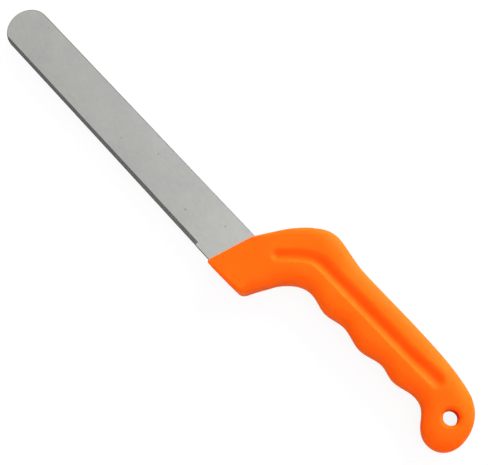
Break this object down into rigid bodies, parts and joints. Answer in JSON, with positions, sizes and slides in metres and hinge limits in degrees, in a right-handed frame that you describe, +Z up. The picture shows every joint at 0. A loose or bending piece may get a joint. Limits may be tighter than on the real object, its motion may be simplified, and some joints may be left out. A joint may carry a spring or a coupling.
{
  "type": "hive tool",
  "caption": "Hive tool: straight round-tipped spring-steel scraper blade in an offset one-piece plastic pistol grip with finger waves, thumb grooves and a hang hole.",
  "frame": {"origin": "on the ground plane, under the middle of the tool's bounding box, with the tool lying on its side", "axes": "+X from the blade's tip to the butt of the handle, +Y from the blade towards the offset grip, +Z up through the tool's thickness"},
  "size_m": [0.3264, 0.0548, 0.016],
  "materials": {
    "blade_steel": "cold-rolled and fine-brushed, satin",
    "handle_plastic": "moulded polypropylene, satin, bright orange"
  },
  "bodies": {
    "root": {"blade": "blade_steel", "handle": "handle_plastic"}
  },
  "joints": []
}
